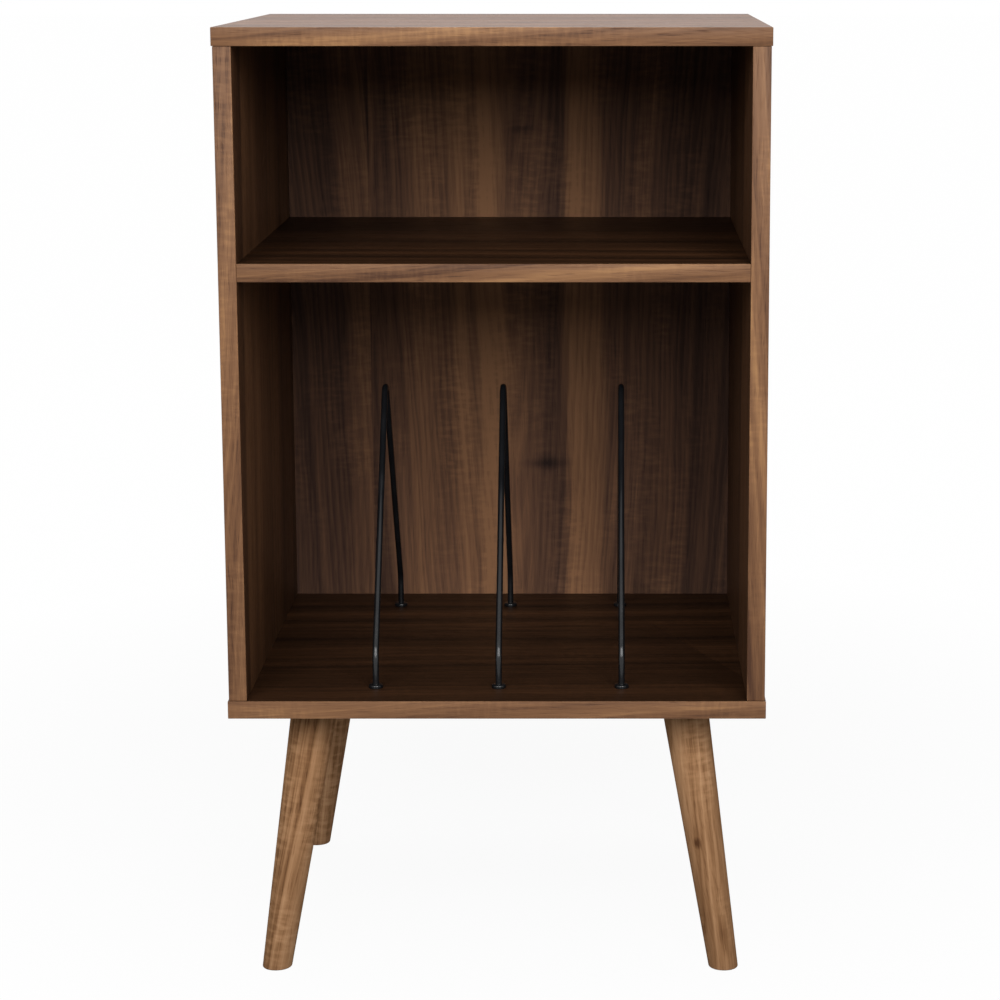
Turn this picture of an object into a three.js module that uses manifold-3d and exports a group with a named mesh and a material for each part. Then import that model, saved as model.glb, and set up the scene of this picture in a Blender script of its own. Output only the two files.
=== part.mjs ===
// Record storage stand: an open cabinet of walnut-faced board with a shelf near the top and a
// record bay below it. Three bent-wire dividers stand in the bay, and four tapered wooden legs
// splay outwards under the corners.
//
// Millimetres, +Z up. The origin is on the floor under the middle of the cabinet. The open front
// faces -Y, and +X is to the right of someone who looks into it.

import * as THREE from "three";
import { mergeVertices } from "three/addons/utils/BufferGeometryUtils.js";
import Module from "manifold-3d";

const wasm = await Module();
wasm.setup();

// ------------------------------------------------------------------ driving dimensions

// Cabinet
const cabinetWidth = 450;
const cabinetDepth = 400;
const boardThickness = 15;
const legHeight = 230; // floor to the underside of the bottom board
const recordBayHeight = 352; // clear height; a 12 inch record sleeve is 315
const upperBayHeight = 175;
const sideInset = 1; // the sides stand in from the ends of the top and bottom boards
const frontInset = 1; // and their front edges, like the shelf's, from the front of those boards
const edgingThickness = 1;

// Back panel, held in grooves
const backThickness = 3;
const backSetback = 8; // its rear face to the rear edges of the boards
const grooveDepth = 6;

// Dowels that join the boards
const dowelDiameter = 8;
const dowelLength = 30;
const dowelInFace = 10; // the share of its length in the face of a board, the rest being in an end
const dowelChamfer = 1;
const dowelInset = 50; // from the front and rear edges of the cabinet

// Legs
const legTopDiameter = 40;
const legFootDiameter = 25;
const legTopInset = 67; // leg axis to the ends and the front or rear edge, under the bottom board
const legSplay = 34.5; // how far the foot stands out from there, in X and in Y alike
const legTopChamfer = 1.5;

// Leg plates, their screws and the hanger bolts
const plateSize = 62;
const plateThickness = 2.5;
const plateCornerRadius = 8;
const plateScrewSpacing = 46;
const bossDiameter = 28;
const rimClearance = 0.6; // between the high side of a leg's top and the plate
const screwDiameter = 4;
const screwHeadDiameter = 8;
const screwHeadHeight = 2;
const screwLength = 14.5;
const screwTipLength = 3;
const recessLength = 4.4; // of the cross in the head
const recessWidth = 1;
const recessDepth = 1.2;
const boltDiameter = 8;
const boltInLeg = 30;
const boltTipLength = 4;
const boltEndGap = 1.6; // the bolt's upper end to the board, along the bolt

// Wire dividers
const dividerCount = 3;
const wireDiameter = 5.5;
const dividerInset = 44; // the front foot's middle to the front of the cabinet
const dividerReach = 295; // front foot to rear foot
const kneeHeight = 28.2; // where the upright ends turn inwards
const peakHeight = 245.4; // where the two slopes would meet
const kneeRadius = 25;
const peakRadius = 13;
const collarDiameter = 12.2;
const collarHeight = 3.4;
const collarRimHeight = 1.9;
const collarNeckDiameter = 7.4;
const studDiameter = 5;
const studLength = 21.5; // below the collar, through the board and the nut
const nutAcrossFlats = 8;
const nutHeight = 5;
const nutFlangeDiameter = 11.8;
const nutFlangeHeight = 1.2;

// Clearances
const glueLine = 0.1; // between faces that are glued or drawn together
const fitGap = 0.3; // around what sits in a hole or a groove, and under a leg's plate

// Facets
const legSides = 32;
const wireSides = 12;
const holeSides = 12;
const degreesPerStep = 12; // around a wire bend
const shoulderSteps = 3; // over the shoulder of a collar

// ------------------------------------------------------------------ levels and planes

const halfWidth = cabinetWidth / 2;
const halfDepth = cabinetDepth / 2;
const bayFloor = legHeight + boardThickness;
const shelfUnder = bayFloor + recordBayHeight;
const shelfTop = shelfUnder + boardThickness;
const topUnder = shelfTop + upperBayHeight;
const standHeight = topUnder + boardThickness;
const sideOuter = halfWidth - sideInset;
const sideInner = sideOuter - boardThickness;
const innerFront = -halfDepth + frontInset; // front plane of the sides and the shelf
const backRear = halfDepth - backSetback;
const backFront = backRear - backThickness;

// ------------------------------------------------------------------ finishes

const finishes = {
  walnutBoard: new THREE.MeshStandardMaterial({ color: 0x6b4a35, roughness: 0.5, metalness: 0 }),
  walnutEdging: new THREE.MeshStandardMaterial({ color: 0x8a6549, roughness: 0.5, metalness: 0 }),
  walnutBack: new THREE.MeshStandardMaterial({ color: 0x6f4f39, roughness: 0.55, metalness: 0 }),
  walnutLeg: new THREE.MeshStandardMaterial({ color: 0x85603f, roughness: 0.45, metalness: 0 }),
  blackWire: new THREE.MeshStandardMaterial({ color: 0x16171a, roughness: 0.35, metalness: 0.6 }),
  zincSteel: new THREE.MeshStandardMaterial({ color: 0xb4b6b8, roughness: 0.35, metalness: 1 }),
  beech: new THREE.MeshStandardMaterial({ color: 0xc9a578, roughness: 0.7, metalness: 0 }),
};

// ------------------------------------------------------------------ solids and geometries

// A closed three.js geometry as a solid that can be joined and cut.
function solidOf(geometry) {
  const bare = geometry.index ? geometry.toNonIndexed() : geometry.clone();
  bare.deleteAttribute("normal");
  bare.deleteAttribute("uv");
  const merged = mergeVertices(bare, 1e-4);
  return new wasm.Manifold(
    new wasm.Mesh({
      numProp: 3,
      vertProperties: merged.attributes.position.array,
      triVerts: new Uint32Array(merged.index.array),
    }),
  );
}

// The geometry of a solid, with its corner at `corner` moved to the origin.
function geometryOf(solid, corner = new THREE.Vector3()) {
  const mesh = solid.getMesh();
  const geometry = new THREE.BufferGeometry();
  geometry.setAttribute("position", new THREE.BufferAttribute(mesh.vertProperties, 3));
  geometry.setIndex(new THREE.BufferAttribute(mesh.triVerts, 1));
  const flat = geometry.toNonIndexed();
  flat.translate(-corner.x, -corner.y, -corner.z);
  flat.computeVertexNormals();
  return flat;
}

function joined(solids) {
  return solids.reduce((whole, next) => whole.add(next));
}

function cutBy(solid, cutters) {
  return cutters.reduce((rest, cutter) => rest.subtract(cutter), solid);
}

// A box between two corners, each given as [x, y, z].
function boxBetween(low, high) {
  const [width, depth, height] = high.map((value, axis) => value - low[axis]);
  const geometry = new THREE.BoxGeometry(width, depth, height);
  return geometry.translate(low[0] + width / 2, low[1] + depth / 2, low[2] + height / 2);
}

// A turned shape about Z. The profile lists [radius, height] from the lower end up.
function turned(profile, sides) {
  const points = profile.map(([radius, height]) => new THREE.Vector2(radius, height));
  return new THREE.LatheGeometry(points, sides).rotateX(Math.PI / 2);
}

function rod(diameter, low, high, sides = holeSides) {
  const radius = diameter / 2;
  return turned([[0, low], [radius, low], [radius, high], [0, high]], sides);
}

// ------------------------------------------------------------------ the stand

const stand = new THREE.Group();
const sides = [["left", -1], ["right", 1]];
const ends = [["front", -1], ["rear", 1]];

function addPiece(parent, name, geometry, finish, position = new THREE.Vector3()) {
  const mesh = new THREE.Mesh(geometry, finish);
  mesh.name = name;
  mesh.position.copy(position);
  parent.add(mesh);
  return mesh;
}

// Adds a solid that was made in the stand's frame as a mesh that sits at its own lower corner.
function addPlaced(name, solid, finish, low) {
  const corner = new THREE.Vector3(...low);
  addPiece(stand, name, geometryOf(solid, corner), finish, corner);
}

// ------------------------------------------------------------------ dowels

const dowelHole = dowelDiameter + 2 * fitGap;
const dowelHoleEnds = [-fitGap, dowelLength + fitGap];

// A dowel stands along Z from its end in the face of a board. Each place turns and moves it there.
function dowelPlaces() {
  const places = [];
  for (const [side, sideSign] of sides) {
    const middle = (sideSign * (sideInner + sideOuter)) / 2;
    const along = new THREE.Matrix4().makeRotationY((-sideSign * Math.PI) / 2);
    const over = new THREE.Matrix4().makeRotationX(Math.PI);
    for (const [end, endSign] of ends) {
      const y = endSign * (halfDepth - dowelInset);
      const shelfX = sideSign * (sideInner + dowelInFace);
      const shelfZ = (shelfUnder + shelfTop) / 2;
      places.push(
        [`dowel_bottom_${side}_${end}`, new THREE.Matrix4(), [middle, y, bayFloor - dowelInFace]],
        [`dowel_shelf_${side}_${end}`, along, [shelfX, y, shelfZ]],
        [`dowel_top_${side}_${end}`, over, [middle, y, topUnder + dowelInFace]],
      );
    }
  }
  return places;
}

const dowelCutters = dowelPlaces().map(([, turn, place]) => {
  const hole = rod(dowelHole, ...dowelHoleEnds).applyMatrix4(turn);
  return solidOf(hole.translate(...place));
});

function addDowels() {
  const radius = dowelDiameter / 2;
  const profile = [
    [0, 0],
    [radius - dowelChamfer, 0],
    [radius, dowelChamfer],
    [radius, dowelLength - dowelChamfer],
    [radius - dowelChamfer, dowelLength],
    [0, dowelLength],
  ];
  const dowel = turned(profile, holeSides);
  for (const [name, turn, place] of dowelPlaces()) {
    const mesh = addPiece(stand, name, dowel, finishes.beech, new THREE.Vector3(...place));
    mesh.quaternion.setFromRotationMatrix(turn);
  }
}

// ------------------------------------------------------------------ boards and their edging

// One slot, cut into the top, the bottom and both sides, takes the edges of the back panel.
const backSlot = solidOf(
  boxBetween(
    [-sideInner - grooveDepth, backFront - fitGap, bayFloor - grooveDepth],
    [sideInner + grooveDepth, backRear + fitGap, topUnder + grooveDepth],
  ),
);

// A board from its front plane to its rear plane, with a strip of edging on its front.
function addBoard(name, low, high, cutters) {
  const [x0, frontPlane, z0] = low;
  const edgingRear = frontPlane + edgingThickness;
  const core = [x0, edgingRear + glueLine, z0];
  addPlaced(name, cutBy(solidOf(boxBetween(core, high)), cutters), finishes.walnutBoard, core);
  const edging = boxBetween(low, [high[0], edgingRear, high[2]]);
  addPlaced(`${name}_edging`, solidOf(edging), finishes.walnutEdging, low);
}

function addBoards() {
  const bottomCutters = [backSlot, ...dowelCutters, ...studCutters(), ...screwCutters()];
  addBoard(
    "bottom_board",
    [-halfWidth, -halfDepth, legHeight],
    [halfWidth, halfDepth, bayFloor],
    bottomCutters,
  );
  addBoard(
    "top_board",
    [-halfWidth, -halfDepth, topUnder],
    [halfWidth, halfDepth, standHeight],
    [backSlot, ...dowelCutters],
  );
  for (const [side, sign] of sides) {
    const faces = [sign * sideInner, sign * sideOuter].sort((a, b) => a - b);
    addBoard(
      `${side}_side`,
      [faces[0], innerFront, bayFloor + glueLine],
      [faces[1], halfDepth, topUnder - glueLine],
      [backSlot, ...dowelCutters],
    );
  }
  addBoard(
    "fixed_shelf",
    [-sideInner + glueLine, innerFront, shelfUnder],
    [sideInner - glueLine, backFront - fitGap, shelfTop],
    dowelCutters,
  );
}

function addBackPanel() {
  const inGroove = grooveDepth - fitGap;
  const low = [-sideInner - inGroove, backFront, bayFloor - inGroove];
  const high = [sideInner + inGroove, backRear, topUnder + inGroove];
  addPlaced("back_panel", solidOf(boxBetween(low, high)), finishes.walnutBack, low);
}

// ------------------------------------------------------------------ wire dividers

// A bent rod in the YZ plane: straight runs between corners, each corner rounded to its radius.
// Its points are stations, one at each end of a run and a few around each bend, so that
// getPointAt and getTangentAt step from station to station.
class BentRod extends THREE.Curve {
  constructor(corners, radii) {
    super();
    this.stations = [];
    corners.forEach((corner, index) => {
      const previous = corners[index - 1];
      const next = corners[index + 1];
      if (!previous || !next) {
        const [from, to] = previous ? [previous, corner] : [corner, next];
        this.addStation(corner, to.clone().sub(from).normalize());
        return;
      }
      this.addBend(previous, corner, next, radii[index]);
    });
  }

  addStation(point, tangent) {
    this.stations.push({ point, tangent });
  }

  addBend(previous, corner, next, radius) {
    const arriving = corner.clone().sub(previous).normalize();
    const leaving = next.clone().sub(corner).normalize();
    const turn = arriving.angleTo(leaving);
    const start = corner.clone().addScaledVector(arriving, -radius * Math.tan(turn / 2));
    const axis = arriving.clone().cross(leaving).normalize();
    const centre = start.clone().addScaledVector(axis.clone().cross(arriving), radius);
    const steps = Math.ceil(THREE.MathUtils.radToDeg(turn) / degreesPerStep);
    for (let step = 0; step <= steps; step++) {
      const angle = (turn * step) / steps;
      const spoke = start.clone().sub(centre).applyAxisAngle(axis, angle);
      this.addStation(centre.clone().add(spoke), arriving.clone().applyAxisAngle(axis, angle));
    }
  }

  stationAt(share) {
    return this.stations[Math.round(share * (this.stations.length - 1))];
  }

  getPointAt(share) {
    return this.stationAt(share).point.clone();
  }

  getTangentAt(share) {
    return this.stationAt(share).tangent.clone();
  }
}

// A divider stands on the plane z = 0 with its feet at -Y and +Y.
function dividerSolid() {
  const foot = dividerReach / 2;
  const corners = [
    new THREE.Vector3(0, -foot, 0),
    new THREE.Vector3(0, -foot, kneeHeight),
    new THREE.Vector3(0, 0, peakHeight),
    new THREE.Vector3(0, foot, kneeHeight),
    new THREE.Vector3(0, foot, 0),
  ];
  const path = new BentRod(corners, [0, kneeRadius, peakRadius, kneeRadius, 0]);
  const section = new THREE.Shape().absarc(0, 0, wireDiameter / 2, 0, 2 * Math.PI);
  const wire = new THREE.ExtrudeGeometry(section, {
    steps: path.stations.length - 1,
    curveSegments: wireSides,
    extrudePath: path,
  });
  const feet = [-foot, foot].flatMap((y) => {
    const pieces = [collar(), stud()];
    return pieces.map((piece) => piece.translate(0, y, 0));
  });
  return joined([wire, ...feet].map(solidOf));
}

// A collar: an upright rim, then a rounded shoulder that draws in to the neck.
function collar() {
  const [rim, neck] = [collarDiameter / 2, collarNeckDiameter / 2];
  const shoulder = Array.from({ length: shoulderSteps + 1 }, (_, step) => {
    const angle = ((step / shoulderSteps) * Math.PI) / 2;
    return [
      neck + (rim - neck) * Math.cos(angle),
      collarRimHeight + (collarHeight - collarRimHeight) * Math.sin(angle),
    ];
  });
  return turned([[0, 0], [rim, 0], ...shoulder, [0, collarHeight]], 2 * holeSides);
}

// The threaded end, shown at its outside diameter. It starts inside the collar.
function stud() {
  return rod(studDiameter, -studLength, collarRimHeight);
}

const bayPitch = (2 * sideInner) / (dividerCount + 1);
const dividerMiddle = -halfDepth + dividerInset + dividerReach / 2;
const dividerNames = ["left", "middle", "right"];

function dividerX(index) {
  return (index - (dividerCount - 1) / 2) * bayPitch;
}

function studPlaces() {
  return Array.from({ length: dividerCount }, (_, index) =>
    ends.map(([end, sign]) => ({
      name: `${dividerNames[index]}_${end}`,
      x: dividerX(index),
      y: dividerMiddle + (sign * dividerReach) / 2,
    })),
  ).flat();
}

function studCutters() {
  const through = [legHeight - boardThickness, bayFloor + boardThickness];
  return studPlaces().map(({ x, y }) => {
    const hole = rod(studDiameter + 2 * fitGap, ...through);
    return solidOf(hole.translate(x, y, 0));
  });
}

function addDividers() {
  const geometry = geometryOf(dividerSolid());
  for (let index = 0; index < dividerCount; index++) {
    const place = new THREE.Vector3(dividerX(index), dividerMiddle, bayFloor + glueLine);
    addPiece(stand, `divider_${dividerNames[index]}`, geometry, finishes.blackWire, place);
  }
}

// A flange nut under the bottom board, its flange upwards at z = 0.
function flangeNutGeometry() {
  const cornerRadius = nutAcrossFlats / Math.sqrt(3);
  const hexagon = new THREE.CylinderGeometry(cornerRadius, cornerRadius, nutHeight, 6);
  hexagon.rotateX(Math.PI / 2).translate(0, 0, -nutHeight / 2);
  const flange = rod(nutFlangeDiameter, -nutFlangeHeight, 0, 2 * holeSides);
  const bore = rod(studDiameter + 2 * fitGap, -2 * nutHeight, nutHeight);
  return geometryOf(cutBy(joined([hexagon, flange].map(solidOf)), [solidOf(bore)]));
}

function addNuts() {
  const geometry = flangeNutGeometry();
  for (const { name, x, y } of studPlaces()) {
    const place = new THREE.Vector3(x, y, legHeight - glueLine);
    addPiece(stand, `divider_nut_${name}`, geometry, finishes.zincSteel, place);
  }
}

// ------------------------------------------------------------------ legs and their fixings

// Each corner has its own frame. Its origin is where the leg's axis meets the underside of the
// bottom board, and the foot splays out between its +X and its +Y.
const tilt = Math.atan((legSplay * Math.SQRT2) / legHeight);
const splayTurn = new THREE.Matrix4()
  .makeRotationZ(Math.PI / 4)
  .multiply(new THREE.Matrix4().makeRotationY(-tilt));
const axisLength = legHeight / Math.cos(tilt);
const plateTop = -glueLine;
const plateUnder = plateTop - plateThickness;
const topRise = (legTopDiameter / 2) * Math.sin(tilt); // of the high side of a leg's top
const seatDrop = (rimClearance + topRise - plateUnder) / Math.cos(tilt);
const corners = ends.flatMap(([end, y]) =>
  sides.map(([side, x]) => ({ name: `${end}_${side}`, x, y })),
);
const screwSigns = [[-1, -1], [1, -1], [1, 1], [-1, 1]];

function cornerPlace({ x, y }) {
  return new THREE.Vector3(x * (halfWidth - legTopInset), y * (halfDepth - legTopInset), legHeight);
}

function legRadius(drop) {
  return THREE.MathUtils.lerp(legTopDiameter, legFootDiameter, drop / axisLength) / 2;
}

// The leg is turned about its own axis, tilted, and sawn level at the floor.
function legGeometry() {
  const top = seatDrop + fitGap;
  const end = axisLength + legFootDiameter;
  const blank = turned(
    [
      [0, -end],
      [legRadius(end), -end],
      [legRadius(top + legTopChamfer), -top - legTopChamfer],
      [legRadius(top) - legTopChamfer, -top],
      [0, -top],
    ],
    legSides,
  );
  const boltHole = rod(boltDiameter + 2 * fitGap, -seatDrop - boltInLeg - fitGap, 0);
  const reach = legSplay + legTopDiameter;
  const aboveFloor = boxBetween([-reach, -reach, -legHeight], [2 * reach, 2 * reach, 0]);
  const shaped = solidOf(blank).subtract(solidOf(boltHole)).transform(splayTurn.elements);
  return geometryOf(shaped.intersect(solidOf(aboveFloor)));
}

function plateOutline() {
  const half = plateSize / 2;
  const inner = half - plateCornerRadius;
  const outline = new THREE.Shape();
  outline.absarc(inner, inner, plateCornerRadius, 0, Math.PI / 2);
  outline.absarc(-inner, inner, plateCornerRadius, Math.PI / 2, Math.PI);
  outline.absarc(-inner, -inner, plateCornerRadius, Math.PI, 1.5 * Math.PI);
  outline.absarc(inner, -inner, plateCornerRadius, 1.5 * Math.PI, 2 * Math.PI);
  return outline;
}

// A flat plate with a boss whose lower face is square to the leg, tapped for the hanger bolt.
function plateGeometry() {
  const flat = new THREE.ExtrudeGeometry(plateOutline(), {
    depth: plateThickness,
    bevelEnabled: false,
    curveSegments: 4,
  });
  flat.translate(0, 0, plateUnder);
  const belowBoard = boxBetween(
    [-plateSize, -plateSize, -2 * seatDrop],
    [plateSize, plateSize, plateTop],
  );
  const boss = rod(bossDiameter, -seatDrop, bossDiameter, 2 * holeSides).applyMatrix4(splayTurn);
  const bore = rod(boltDiameter + 2 * fitGap, -2 * seatDrop, bossDiameter).applyMatrix4(splayTurn);
  const body = solidOf(flat).add(solidOf(boss).intersect(solidOf(belowBoard)));
  const countersinks = screwSigns.map(([x, y]) => {
    const offset = new THREE.Vector3(x, y, 0).multiplyScalar(plateScrewSpacing / 2);
    return solidOf(countersinkGeometry().translate(...offset));
  });
  return geometryOf(cutBy(body, [solidOf(bore), ...countersinks]));
}

// The outline of a plate screw from the rim of its head up to its tip, grown by `growth`.
function screwProfile(growth) {
  const shank = screwDiameter / 2 + growth;
  const tip = plateUnder + screwLength + growth;
  return [
    [screwHeadDiameter / 2 + growth, plateUnder],
    [shank, plateUnder + screwHeadHeight],
    [shank, tip - screwTipLength],
    [0, tip],
  ];
}

function countersinkGeometry() {
  const mouth = plateUnder - fitGap;
  const rim = screwHeadDiameter / 2 + fitGap;
  return turned([[0, mouth], [rim, mouth], ...screwProfile(fitGap)], holeSides);
}

function screwGeometry() {
  const half = recessLength / 2;
  const low = plateUnder - recessDepth;
  const high = plateUnder + recessDepth;
  const slots = [
    boxBetween([-half, -recessWidth / 2, low], [half, recessWidth / 2, high]),
    boxBetween([-recessWidth / 2, -half, low], [recessWidth / 2, half, high]),
  ];
  const uncut = turned([[0, plateUnder], ...screwProfile(0)], holeSides);
  return geometryOf(cutBy(solidOf(uncut), slots.map(solidOf)));
}

// The bottom board's pilot holes for the plate screws, in the stand's frame.
function screwCutters() {
  const depth = plateUnder + screwLength + fitGap;
  return corners.flatMap((corner) => {
    const place = cornerPlace(corner);
    return screwSigns.map(([x, y]) => {
      const hole = rod(screwDiameter + 2 * fitGap, -boardThickness, depth);
      const offset = new THREE.Vector3(x, y, 0).multiplyScalar(plateScrewSpacing / 2);
      return solidOf(hole.translate(...offset.add(place)));
    });
  });
}

// The hanger bolt: a machine thread in the plate's boss, a wood thread in the leg.
function boltGeometry() {
  const radius = boltDiameter / 2;
  const tip = -seatDrop - boltInLeg;
  return turned(
    [
      [0, tip],
      [radius, tip + boltTipLength],
      [radius, -boltEndGap],
      [0, -boltEndGap],
    ],
    holeSides,
  ).applyMatrix4(splayTurn);
}

function addLegs() {
  const leg = legGeometry();
  const plate = plateGeometry();
  const bolt = boltGeometry();
  const screw = screwGeometry();
  for (const corner of corners) {
    const frame = new THREE.Group();
    frame.position.copy(cornerPlace(corner));
    frame.rotation.z = Math.atan2(corner.y, corner.x) - Math.PI / 4;
    stand.add(frame);
    addPiece(frame, `leg_${corner.name}`, leg, finishes.walnutLeg);
    addPiece(frame, `leg_plate_${corner.name}`, plate, finishes.zincSteel);
    addPiece(frame, `hanger_bolt_${corner.name}`, bolt, finishes.zincSteel);
    screwSigns.forEach(([x, y], index) => {
      const place = new THREE.Vector3(x, y, 0).multiplyScalar(plateScrewSpacing / 2);
      addPiece(frame, `plate_screw_${corner.name}_${index + 1}`, screw, finishes.zincSteel, place);
    });
  }
}

addBoards();
addBackPanel();
addDowels();
addDividers();
addNuts();
addLegs();

export default stand;
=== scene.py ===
# %% [markdown]
# # A record storage stand
# The real stand is an open cabinet of walnut-faced board on four tapered walnut legs. A fixed shelf
# runs near its top. Three bent-wire dividers stand in the tall bay below and keep records upright.
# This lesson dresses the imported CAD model: the frame gives every place and size, and each step
# below adds one kind of piece or one finish.

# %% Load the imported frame
import math

import bmesh
import bpy
from mathutils import Matrix, Vector


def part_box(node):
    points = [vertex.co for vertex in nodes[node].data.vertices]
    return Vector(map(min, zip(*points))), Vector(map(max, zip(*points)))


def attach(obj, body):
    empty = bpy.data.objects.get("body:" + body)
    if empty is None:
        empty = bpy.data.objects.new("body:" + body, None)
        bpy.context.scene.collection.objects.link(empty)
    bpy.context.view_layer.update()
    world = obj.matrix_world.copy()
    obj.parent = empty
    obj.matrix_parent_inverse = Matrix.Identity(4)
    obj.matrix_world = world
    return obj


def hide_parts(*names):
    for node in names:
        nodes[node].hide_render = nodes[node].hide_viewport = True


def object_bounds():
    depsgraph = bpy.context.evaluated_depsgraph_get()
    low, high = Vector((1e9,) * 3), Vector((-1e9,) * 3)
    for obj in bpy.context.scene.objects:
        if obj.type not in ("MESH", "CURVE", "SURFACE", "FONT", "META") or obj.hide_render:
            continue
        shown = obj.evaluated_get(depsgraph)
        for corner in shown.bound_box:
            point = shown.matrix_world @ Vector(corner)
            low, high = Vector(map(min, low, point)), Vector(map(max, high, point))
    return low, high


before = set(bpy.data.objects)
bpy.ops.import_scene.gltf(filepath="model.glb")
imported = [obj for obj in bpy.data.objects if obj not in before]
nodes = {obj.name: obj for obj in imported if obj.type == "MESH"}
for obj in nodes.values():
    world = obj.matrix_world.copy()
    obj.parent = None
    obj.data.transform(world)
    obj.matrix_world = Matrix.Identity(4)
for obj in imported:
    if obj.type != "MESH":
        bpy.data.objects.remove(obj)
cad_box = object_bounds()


def rounded(place):
    """A place in metres to a tenth of a millimetre, for printing."""
    return tuple(round(value, 4) for value in place)


print("CAD nodes:", len(nodes))
print("CAD box:", [rounded(corner) for corner in cad_box])

# %% [markdown]
# ## The camera
# The photograph was taken with a long lens from a little right of the middle and just above the
# top: the top board shows as a thin sliver. A product photographer would keep the camera level and
# shift the lens, which keeps uprights parallel. A large shift would push the stand out of other
# views of this scene, so here the camera tilts down instead, and only a small shift is left.

# %% Place the camera
CAMERA_PLACE = Vector((0.0915, -2.438, 0.8712))
CAMERA_TILT = math.radians(10.65)
CAMERA_LENS = 99.75
CAMERA_SHIFT = (-0.1063, -0.04)
SENSOR_WIDTH = 36

camera_data = bpy.data.cameras.new("camera")
camera_data.sensor_width = SENSOR_WIDTH
camera_data.lens = CAMERA_LENS
camera_data.shift_x, camera_data.shift_y = CAMERA_SHIFT
camera = bpy.data.objects.new("camera", camera_data)
camera.location = CAMERA_PLACE
camera.rotation_euler = (math.pi / 2 - CAMERA_TILT, 0, 0)
bpy.context.collection.objects.link(camera)
bpy.context.scene.camera = camera
bpy.context.scene.view_settings.view_transform = "Standard"
print("camera at", rounded(CAMERA_PLACE))

# %% [markdown]
# ## Colours
# Colours below are written as a painter's 0 to 255 values, as they look on a screen. A shader counts
# light instead, so they are turned into linear light by the curve that screens use.


# %% Colours in linear light
def paint(red, green, blue):
    """A colour given from 0 to 255 as it looks on a screen, in linear light."""
    shares = [value / 255 for value in (red, green, blue)]
    linear = [s / 12.92 if s <= 0.04045 else ((s + 0.055) / 1.055) ** 2.4 for s in shares]
    return (*linear, 1)


print("mid grey in linear light:", round(paint(128, 128, 128)[0], 3))

# %% [markdown]
# ## Helpers for shader nodes
# A material is a graph of nodes. It could be wired by hand in the shader editor, but in a script a
# few helpers keep it as short as a formula: one adds a node and fills its inputs, and two add one
# step of arithmetic each. An input takes either a plain value or a link from another node.


# %% Nodes and arithmetic
def add_node(tree, kind, inputs=None, **settings):
    """A node with its settings, and its inputs linked to a socket or set to a value."""
    made = tree.nodes.new(kind)
    for name, value in settings.items():
        setattr(made, name, value)
    for name, value in (inputs or {}).items():
        if isinstance(value, bpy.types.NodeSocket):
            tree.links.new(value, made.inputs[name])
        else:
            made.inputs[name].default_value = value
    return made


def maths(tree, operation, *values):
    """One step of arithmetic, as an output socket."""
    inputs = dict(enumerate(values))
    return add_node(tree, "ShaderNodeMath", inputs, operation=operation).outputs[0]


def vector_maths(tree, operation, *values):
    """The node for one step of arithmetic on places."""
    inputs = dict(enumerate(values))
    return add_node(tree, "ShaderNodeVectorMath", inputs, operation=operation)


print("made", add_node.__name__, maths.__name__, "and", vector_maths.__name__)

# %% [markdown]
# Three more steps come back in every finish: a range that is stretched to another range, soft noise,
# and the place of a point. Noise has cells of one unit, so a place in metres is multiplied by the
# number of cells that a metre should hold: few for broad clouds, many for fine pores, and different
# numbers on each axis for anything long and thin.


# %% Ranges, noise and places
def spread(tree, value, low, high, to_low=0.0, to_high=1.0):
    """The value with its range from low to high stretched to another one, and held there."""
    inputs = {"Value": value, "From Min": low, "From Max": high, "To Min": to_low, "To Max": to_high}
    return add_node(tree, "ShaderNodeMapRange", inputs).outputs["Result"]


def noise(tree, place, detail, roughness=0.5, dimensions="3D"):
    """Soft noise in cells of one unit."""
    socket = "W" if dimensions == "1D" else "Vector"
    inputs = {socket: place, "Scale": 1.0, "Detail": detail, "Roughness": roughness}
    return add_node(tree, "ShaderNodeTexNoise", inputs, noise_dimensions=dimensions)


def noise_in_cells(tree, place, cells, detail, roughness=0.5):
    """Soft noise on a place in metres, with so many cells to the metre on each axis."""
    return noise(tree, vector_maths(tree, "MULTIPLY", place, cells).outputs[0], detail, roughness)


def object_place(tree):
    """Object coordinates, which are metres in the stand's frame for every piece here."""
    return add_node(tree, "ShaderNodeTexCoord").outputs["Object"]


print("made", spread.__name__, noise.__name__, noise_in_cells.__name__, "and", object_place.__name__)

# %% [markdown]
# ## The figure of walnut
# Walnut shows its growth rings as long stripes, or as nested arches where the saw passes near the
# heart. A picture of wood could be wrapped round each board, but it would repeat, and its seams would
# show on the arrises. So the figure is worked out at every point, from one idea: the rings are cones
# about the heart of the tree, bent a little by slow noise. It works in metres on a place given as
# along, across and through the board, so every piece can be laid out as if it were sawn from a plank.
# The bending comes first.

# %% Bend the grain
SLOW_CELLS = (2.2, 8, 8)
QUICK_CELLS = (9, 45, 45)
QUICK_REACH = 0.006


def centred(tree, value, reach):
    """Noise from 0 to 1 as a move of up to half the reach either way."""
    return maths(tree, "MULTIPLY", maths(tree, "SUBTRACT", value, 0.5), reach)


def bent_place(tree, place, sway, heart_depth):
    """How far off the heart a place lies, across and through, once the noise has bent it."""
    _, across, through = add_node(tree, "ShaderNodeSeparateXYZ", {0: place}).outputs
    slow = noise_in_cells(tree, place, SLOW_CELLS, detail=1.0).outputs["Color"]
    slow_x, slow_y, _ = add_node(tree, "ShaderNodeSeparateXYZ", {0: slow}).outputs
    quick = noise_in_cells(tree, place, QUICK_CELLS, detail=2.0).outputs[0]
    swayed_across = maths(tree, "ADD", across, centred(tree, slow_x, sway))
    bent = maths(tree, "ADD", swayed_across, centred(tree, quick, QUICK_REACH))
    swayed_through = maths(tree, "ADD", through, centred(tree, slow_y, sway))
    return bent, maths(tree, "ADD", swayed_through, heart_depth)


print("cells to the metre: slow noise", SLOW_CELLS, "and quick noise", QUICK_CELLS)

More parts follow.
